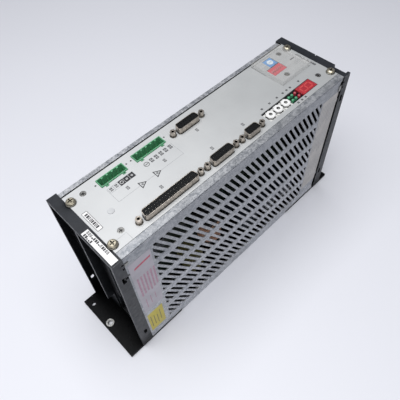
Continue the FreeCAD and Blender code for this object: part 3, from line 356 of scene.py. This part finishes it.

# deep sets how far painted shade reaches into corners and recesses, and deep_power how fast it darkens.
GENERAL = {
    "black_enamel": dict(
        base=(0.0016, 0.0020, 0.0028), rough=0.34, mottle=0.35, grain=0.5, dust=0.002,
        wear_and_highlight=(0.10, 0.10, 0.11), wear_and_highlight_amount=0.8, gloss=0.10, deep=20 * MM),
    # Its lighter edge colour is partly a painted highlight where the frame's edges catch light.
    "black_frame": dict(
        base=(0.0170, 0.0195, 0.0245), rough=0.46, mottle=0.2, grain=0.45, dust=0.006,
        wear_and_highlight=(0.34, 0.35, 0.37), wear_and_highlight_amount=1.0, soft_edge=0.4 * MM,
        gloss=0.36, deep=30 * MM, deep_power=7.0),
    "yellow_zinc": dict(
        base=(0.48, 0.44, 0.34), rough=0.36, metal=0.95, mottle=0.4, mottle_scale=400.0,
        wear_and_highlight=(0.88, 0.84, 0.73), deep=1.3 * MM),
    "washer_metal": dict(
        base=(0.44, 0.42, 0.36), rough=0.34, metal=0.9, mottle=0.3, mottle_scale=300.0,
        wear_and_highlight=(0.85, 0.83, 0.76), deep=2.0 * MM),
    "steel": dict(
        base=(0.30, 0.30, 0.29), rough=0.32, metal=0.95, mottle=0.3, mottle_scale=400.0,
        wear_and_highlight=(0.70, 0.70, 0.68), wear_and_highlight_amount=0.8, deep=2.5 * MM),
    "grey_plastic": dict(base=(0.50, 0.51, 0.52), rough=0.5, mottle_scale=300.0),
    "green_plastic": dict(
        base=(0.085, 0.330, 0.160), rough=0.34, mottle=0.22, mottle_scale=420.0,
        wear_and_highlight=(0.42, 0.64, 0.50), wear_and_highlight_amount=1.0, dust=0.10),
    "tinned_pin": dict(base=(0.72, 0.71, 0.68), rough=0.25, metal=1.0, mottle=0.1, mottle_scale=900.0),
    "nickel_shell": dict(
        base=(0.46, 0.41, 0.355), rough=0.30, metal=0.9, mottle=0.35, mottle_scale=330.0,
        wear_and_highlight=(0.85, 0.82, 0.76), wear_and_highlight_amount=0.95, deep=3.0 * MM),
    "black_plastic": dict(
        base=(0.0045, 0.0048, 0.0055), rough=0.48, mottle=0.2, mottle_scale=300.0,
        wear_and_highlight=(0.05, 0.05, 0.055), gloss=0.18),
    "gold_contact": dict(base=(0.85, 0.82, 0.74), rough=0.5, metal=0.1, mottle=0.2, mottle_scale=900.0),
    "white_plastic": dict(base=(0.66, 0.66, 0.64), rough=0.45, mottle_scale=300.0, dust=0.2),
    "knob_plastic": dict(
        base=(0.78, 0.78, 0.77), rough=0.38, mottle=0.06, mottle_scale=400.0,
        wear_and_highlight=(0.9, 0.9, 0.9), dust=0.12, deep=2.2 * MM),
    "green_lens": dict(LENS, base=(0.05, 0.27, 0.13), rough=0.18, coat=0.6),
    "red_lens": dict(LENS, base=(0.38, 0.03, 0.05), rough=0.16, coat=0.8),
    "display_red": dict(
        base=(0.36, 0.022, 0.032), rough=0.22, mottle=0.12, mottle_scale=320.0, grain=0.05, coat=0.5),
    "blue_plastic": dict(
        base=(0.045, 0.22, 0.50), rough=0.42, mottle=0.15, mottle_scale=350.0, wear_and_highlight=(0.2, 0.4, 0.65)),
    "rotor_plastic": dict(base=(0.62, 0.70, 0.76), rough=0.4, mottle_scale=500.0),
    "red_plastic": dict(
        base=(0.48, 0.020, 0.045), rough=0.42, mottle=0.15, mottle_scale=320.0, wear_and_highlight=(0.6, 0.15, 0.16)),
    "slider_plastic": dict(base=(0.46, 0.12, 0.14), rough=0.45, mottle_scale=600.0),
    "white_label": dict(LABEL_FILM, base=(0.80, 0.80, 0.80)),
    "notice_label": dict(LABEL_FILM, base=(0.44, 0.415, 0.46)),
    "yellow_label": dict(LABEL_FILM, base=(0.56, 0.46, 0.03)),
    "rating_label": dict(LABEL_FILM, base=(0.46, 0.44, 0.42)),
    "heat_sink_alloy": dict(base=(0.07, 0.07, 0.075), rough=0.5, metal=0.7, mottle_scale=60.0),
    "capacitor_sleeve": dict(base=(0.02, 0.03, 0.045), rough=0.3, mottle_scale=200.0, coat=0.3),
    "ferrite": dict(base=(0.03, 0.03, 0.032), rough=0.6, mottle_scale=200.0, grain=0.6),
    "yellow_tape": dict(base=(0.20, 0.185, 0.065), rough=0.35, mottle=0.2, mottle_scale=200.0),
    "relay_case": dict(base=(0.03, 0.04, 0.05), rough=0.35, mottle_scale=200.0),
    "ribbon_grey": dict(base=(0.10, 0.10, 0.105), rough=0.55, mottle_scale=400.0),
    "module_case": dict(base=(0.05, 0.05, 0.055), rough=0.5, mottle_scale=200.0),
}


def make_finish(slot):
    if slot in PATTERNED:
        return PATTERNED[slot](slot)
    return surface(slot, **GENERAL[slot])


def dress_frame():
    """Give every CAD node its finish, by the record's material slots."""
    made = {}
    for entry in frame["record"]["subparts"]:
        slot = entry["material_slot"]
        if slot not in made:
            made[slot] = make_finish(slot)
        thing = NODES[entry["node"]]
        thing.data.materials.clear()
        thing.data.materials.append(made[slot])


dress_frame()


# ---- printed marks ----------------------------------------------------------------------------

INK = 0.03 * MM
HOLLOW = 0.36
OPEN_SHARE = 0.45
GAP_SHARE = 0.16
SHORT_SHARE = 0.4


class Print:
    """Thin printed marks on one flat face, in mm along it, gathered into one mesh."""

    def __init__(self, name, origin, right, up):
        self.name = name
        self.mesh = bmesh.new()
        self.origin = Vector(origin)
        self.right = Vector(right)
        self.up = Vector(up)
        self.out = self.right.cross(self.up) * INK

    def at(self, x, y):
        return self.origin + self.right * (x * MM) + self.up * (y * MM)

    def outline(self, points, holes=()):
        """A filled patch that stands proud by the ink's thickness."""
        rings = [[self.mesh.verts.new(self.at(*point)) for point in ring] for ring in (points, *holes)]
        edges = []
        for ring in rings:
            for index, vert in enumerate(ring):
                edges.append(self.mesh.edges.new((vert, ring[(index + 1) % len(ring)])))
        filled = bmesh.ops.triangle_fill(self.mesh, use_beauty=True, edges=edges)
        faces = [item for item in filled["geom"] if isinstance(item, bmesh.types.BMFace)]
        lifted = bmesh.ops.extrude_face_region(self.mesh, geom=faces)
        verts = [item for item in lifted["geom"] if isinstance(item, bmesh.types.BMVert)]
        bmesh.ops.translate(self.mesh, verts=verts, vec=self.out)

    def bar(self, left, low, right, high):
        self.outline([(left, low), (right, low), (right, high), (left, high)])

    def box_line(self, left, low, right, high, line):
        self.outline(
            [(left, low), (right, low), (right, high), (left, high)],
            [[(left + line, low + line), (right - line, low + line),
              (right - line, high - line), (left + line, high - line)]],
        )

    def ring(self, x, y, radius, line, sides=20):
        def points(reach):
            turns = [math.tau * side / sides for side in range(sides)]
            return [(x + reach * math.cos(turn), y + reach * math.sin(turn)) for turn in turns]
        self.outline(points(radius), [points(radius - line)])

    def triangle(self, x, y, wide, tall, line):
        def points(inset):
            base = y - tall / 2 + inset
            half = wide / 2 - inset * 1.75
            return [(x - half, base), (x + half, base), (x, y + tall / 2 - inset * 2.1)]
        self.outline(points(0.0), [points(line)])

    def block(self, left, low, wide, tall):
        """A small open block that stands for one printed sign."""
        self.box_line(left, low, left + wide, low + tall, min(wide, tall) * HOLLOW)

    def signs(self, left, low, count, step, tall, seed):
        """A row of solid and open blocks of uneven width that stands for a printed line."""
        dice = random.Random(seed)
        for place in range(count):
            start = left + place * step
            wide = step * dice.uniform(0.62, 0.82)
            if dice.random() < OPEN_SHARE:
                self.block(start, low, wide, tall)
            else:
                self.bar(start, low, start + wide, low + tall * dice.choice((0.45, 1.0, 1.0)))

    def words(self, left, low, right, high, seed):
        """A run of small blocks that stands for a line of small print."""
        dice = random.Random(seed)
        tall = high - low
        x = left
        while x < right - tall * 0.3:
            wide = tall * dice.uniform(0.35, 0.75)
            if dice.random() < GAP_SHARE:
                x += wide
                continue
            top = high - tall * (0.3 if dice.random() < SHORT_SHARE else 0.0)
            self.bar(x, low, min(x + wide, right), top)
            x += wide + tall * 0.22

    def make(self, material, body=HOUSING):
        mesh = bpy.data.meshes.new(self.name)
        bmesh.ops.recalc_face_normals(self.mesh, faces=self.mesh.faces)
        self.mesh.to_mesh(mesh)
        self.mesh.free()
        thing = bpy.data.objects.new(self.name, mesh)
        bpy.context.scene.collection.objects.link(thing)
        thing.data.materials.append(material)
        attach(thing, body)


def ink(name, colour):
    return surface(name, colour, 0.5, mottle=0.25, mottle_scale=600.0, grain=0.1, soft_edge=0.0)


def face_up(height):
    """Origin, right and up of a face that looks along +Z."""
    return (0.0, 0.0, height), (1, 0, 0), (0, 1, 0)


BLACK_INK = ink("legend_ink", (0.020, 0.020, 0.024))
GREY_INK = ink("legend_grey_ink", (0.30, 0.31, 0.32))
SIGN_INK = ink("legend_sign_ink", (0.10, 0.10, 0.105))
PALE_INK = ink("legend_pale_ink", (0.62, 0.62, 0.62))
RED_INK = ink("label_red_ink", (0.50, 0.10, 0.15))
ROSE_INK = ink("label_rose_ink", (0.42, 0.25, 0.32))
OLIVE_INK = ink("label_olive_ink", (0.24, 0.20, 0.06))

# Marks on the front panel, in mm across and along it.
TERMINAL_X = (-15.4, -9.8)
TERMINAL_STEP = 5.05
SUPPLY_TOP = -77.5
SUPPLY_TALL = 4.8
MOTOR_TOP = -38.4
GROUP_X = 0.7
GROUPS = ((-103.3, -82.2), (-75.4, -66.8), (-60.0, -35.5))
TRIANGLES_Y = (-63.4, -78.8)
PAIRS = ((-4.9, -51.5), (-4.9, -90.0), (13.7, -15.5), (13.7, 22.2), (13.4, -71.2), (-10.4, -9.5))
LEFT_SIGNS_Y = (47.5, 57.8, 68.1, 76.3, 81.8, 86.8, 98.9)
RIGHT_SIGNS_Y = (76.3, 81.5, 86.8)
HAIR = 0.25


def supply_marks(dark, fine, pale):
    """Five marks beside the supply header: three solid with a pale ring, two in outline."""
    left, right = TERMINAL_X
    for step in range(5):
        high = SUPPLY_TOP - TERMINAL_STEP * step
        low = high - SUPPLY_TALL
        middle = (low + high) / 2
        if step < 3:
            dark.bar(left, low, right, high)
            pale.ring((left + right) / 2, middle, 1.6 if step == 2 else 0.9, 0.45)
        else:
            fine.box_line(left, low, right, high, 0.3)
            dark.block(left + 0.9, middle - 1.2, 1.5, 2.4)
            dark.block(left + 3.0, middle - 1.2, 1.2, 2.4)


def motor_marks(dark):
    """Five pairs of signs beside the motor header and a barred ring below them."""
    left = TERMINAL_X[0]
    for step in range(5):
        low = MOTOR_TOP - TERMINAL_STEP * step - 1.5
        dark.block(left + 0.4, low, 1.9, 3.0)
        dark.block(left + 3.0, low, 1.7, 3.0)
    dark.ring(-12.4, -64.4, 2.5, 0.5)
    dark.bar(-12.75, -65.9, -12.05, -62.9)


def group_lines(dark, fine):
    """Hair lines that tie the two headers to their marks, with two triangles between them."""
    for low in (GROUPS[0][0], GROUPS[-1][1] - 0.2):
        fine.bar(TERMINAL_X[0], low, GROUP_X, low + HAIR)
    for low, high in GROUPS:
        fine.bar(GROUP_X - 0.12, low, GROUP_X - 0.12 + HAIR, high)
    for y in TRIANGLES_Y:
        dark.triangle(GROUP_X, y, 7.4, 6.6, 0.75)
        dark.ring(GROUP_X, y - 0.9, 0.95, 0.55, 12)


def indicator_marks(dark):
    """A sign beside each switch, light and display."""
    for x, places in ((12.4, LEFT_SIGNS_Y), (30.4, RIGHT_SIGNS_Y)):
        for y in places:
            dark.block(x, y - 1.0, 1.8, 2.0)


def top_marks(dark, fine):
    """The line at the top end, the small print under the clear cap, and a corner line."""
    dark.signs(-13.2, 127.9, 11, 2.2, 2.4, 7)
    dark.bar(-12.4, 118.6, -11.2, 124.0)
    for step in range(3):
        fine.words(-9.4, 118.2 + 2.1 * step, 4.0, 119.5 + 2.1 * step, 60 + step)
    fine.ring(-0.4, 108.2, 0.8, 0.3, 12)
    fine.bar(25.8, -116.3, 33.6, -116.1)
    fine.bar(25.8, -125.0, 26.0, -116.1)


def panel_legend():
    """Plain marks beside the connectors, lights and switches: bars and boxes, no words."""
    dark = Print("panel_legend", *face_up(FACE_Z))
    fine = Print("panel_legend_lines", *face_up(FACE_Z))
    sign = Print("panel_legend_signs", *face_up(FACE_Z))
    pale = Print("panel_legend_pale", *face_up(FACE_Z + INK))
    supply_marks(dark, fine, pale)
    motor_marks(dark)
    for x, y in PAIRS:
        sign.block(x - 1.7, y - 1.2, 1.5, 2.4)
        sign.block(x + 0.2, y - 1.2, 1.5, 2.4)
    group_lines(dark, fine)
    indicator_marks(dark)
    top_marks(dark, fine)
    dark.make(BLACK_INK)
    fine.make(GREY_INK)
    sign.make(SIGN_INK)
    pale.make(PALE_INK)


def white_label_print():
    dark = Print("white_label_print", *face_up(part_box("white_labels")[1][2]))
    dark.box_line(-10.6, -130.6, 10.6, -125.5, 0.4)
    dark.signs(-8.2, -129.5, 8, 2.05, 2.9, 3)
    dark.signs(5.2, -137.3, 13, 2.0, 2.3, 4)
    dark.signs(5.2, -140.3, 5, 2.0, 2.3, 5)
    dark.make(BLACK_INK)


def side_label_print():
    """Bars on the labels of the side cover, in mm along and above the mounting face."""
    face = ((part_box("notice_label")[1][0], 0.0, 0.0), (0, 1, 0), (0, 0, 1))
    red = Print("notice_label_mark", *face)
    red.outline([(-126.6, 146.6), (-126.0, 149.4), (-110.2, 151.6), (-110.8, 148.8)])
    red.make(RED_INK)
    rose = Print("notice_label_print", *face)
    for step in range(6):
        y = -127.5 + 3.3 * step
        low = 98.0 + 1.5 * (step % 3)
        rose.outline([(y, 132.0), (y, low), (y + 1.7, low), (y + 1.7, 132.0)])
    for step in range(3):
        y = -126.0 + 5.0 * step
        rose.bar(y, 72.0 + 3.0 * step, y + 0.8, 90.0)
    rose.make(ROSE_INK)
    olive = Print("yellow_label_print", *face)
    for step in range(4):
        y = -127.8 + 3.6 * step
        olive.bar(y, 24.0 + 2.0 * (step % 2), y + 0.9, 50.0 - 3.0 * (step % 3))
    olive.make(OLIVE_INK)
    grey = Print("rating_label_print", *face)
    for step in range(7):
        y = 108.0 + 3.1 * step
        for part, high in enumerate((152.0, 112.0, 72.0)):
            grey.bar(y, high - 30.0 + 2.5 * ((step + part) % 4), y + 0.7, high)
    grey.make(GREY_INK)


DIGIT_LINE = 1.3
DIGIT_GAP = 0.35
HALF_WIDE = 3.0
HALF_TALL = 6.6


def digit_segments():
    """The seven bars of the digit under the display's red window, and its point."""
    low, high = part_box("digit_display")
    across = (low[0] + high[0]) / 2 / MM
    along = (low[1] + high[1]) / 2 / MM
    digit = Print("display_segments", *face_up(high[2]))
    half_line = DIGIT_LINE / 2
    for y in (along - HALF_TALL, along, along + HALF_TALL):
        left = across - HALF_WIDE + DIGIT_GAP
        right = across + HALF_WIDE - DIGIT_GAP
        digit.outline([
            (left, y), (left + half_line, y - half_line), (right - half_line, y - half_line),
            (right, y), (right - half_line, y + half_line), (left + half_line, y + half_line),
        ])
    for x in (across - HALF_WIDE, across + HALF_WIDE):
        for start in (along - HALF_TALL, along):
            base = start + DIGIT_GAP
            top = start + HALF_TALL - DIGIT_GAP
            digit.outline([
                (x, base), (x + half_line, base + half_line), (x + half_line, top - half_line),
                (x, top), (x - half_line, top - half_line), (x - half_line, base + half_line),
            ])
    digit.ring(across + 4.4, along - HALF_TALL - 0.4, 0.6, 0.35, 10)
    digit.make(ink("display_segment_tint", (0.50, 0.055, 0.055)))


panel_legend()
white_label_print()
side_label_print()
digit_segments()


# ---- floor, light and camera ------------------------------------------------------------------

FLOOR_HALF = 4.0
KEY_PLACE = (0.04, -0.24, 1.20)
KEY_AIM = (0.04, -0.20, 0.0)
KEY_SIZE = 1.1
KEY_POWER = 16.0
FAR_ROOM = (0.17, 0.175, 0.195)
NEAR_ROOM = (0.36, 0.365, 0.39)
CAMERA_PLACE = (0.18326, -0.18248, 0.43796)
CAMERA_LOOK = (-0.43161, 0.38181, -0.81727)
CAMERA_UP = (-0.56811, 0.58869, 0.57505)
CAMERA_LENS = 38.4


def floor_finish():
    material, tree, shader = new_surface("studio_floor")
    tone = spread(tree, noise(tree, 1.5, 2.0))
    put(tree, mix_colour(tree, tone, (0.76, 0.77, 0.82), (0.78, 0.79, 0.84)), shader.inputs["Base Color"])
    put(tree, 0.6, shader.inputs["Roughness"])
    return material


def make_floor():
    mesh = bpy.data.meshes.new("studio_floor")
    corners = [(x * FLOOR_HALF, y * FLOOR_HALF, 0) for x, y in ((-1, -1), (1, -1), (1, 1), (-1, 1))]
    mesh.from_pydata(corners, [], [(0, 1, 2, 3)])
    floor = bpy.data.objects.new("studio_floor", mesh)
    bpy.context.scene.collection.objects.link(floor)
    floor.data.materials.append(floor_finish())


def make_key_light():
    """One large lamp over the near end."""
    lamp = bpy.data.lights.new("key", "AREA")
    lamp.shape = "SQUARE"
    lamp.size = KEY_SIZE
    lamp.energy = KEY_POWER
    thing = bpy.data.objects.new("key", lamp)
    thing.location = KEY_PLACE
    thing.rotation_euler = (Vector(KEY_AIM) - Vector(KEY_PLACE)).to_track_quat("-Z", "Y").to_euler()
    bpy.context.scene.collection.objects.link(thing)


def make_room():
    """An even pale room, brighter on the near side."""
    world = bpy.data.worlds.new("studio")
    bpy.context.scene.world = world
    world.use_nodes = True
    tree = world.node_tree
    back = tree.nodes["Background"]
    way = split_vector(tree, add(tree, "ShaderNodeTexCoord").outputs["Generated"])
    near = rescale(tree, way[1], -0.8, 0.8, 1.0, 0.0)
    put(tree, mix_colour(tree, near, FAR_ROOM, NEAR_ROOM), back.inputs[0])
    put(tree, 1.0, back.inputs[1])
    bpy.context.scene.view_settings.view_transform = "Standard"


def make_camera():
    camera = bpy.data.cameras.new("camera")
    camera.sensor_width = 36.0
    camera.lens = CAMERA_LENS
    camera.clip_start = 0.01
    thing = bpy.data.objects.new("camera", camera)
    look = Vector(CAMERA_LOOK).normalized()
    right = look.cross(Vector(CAMERA_UP).normalized()).normalized()
    up = right.cross(look)
    turn = Matrix((right, up, -look)).transposed().to_4x4()
    thing.matrix_world = Matrix.Translation(CAMERA_PLACE) @ turn
    bpy.context.scene.collection.objects.link(thing)
    bpy.context.scene.camera = thing


make_floor()
make_room()
make_key_light()
make_camera()
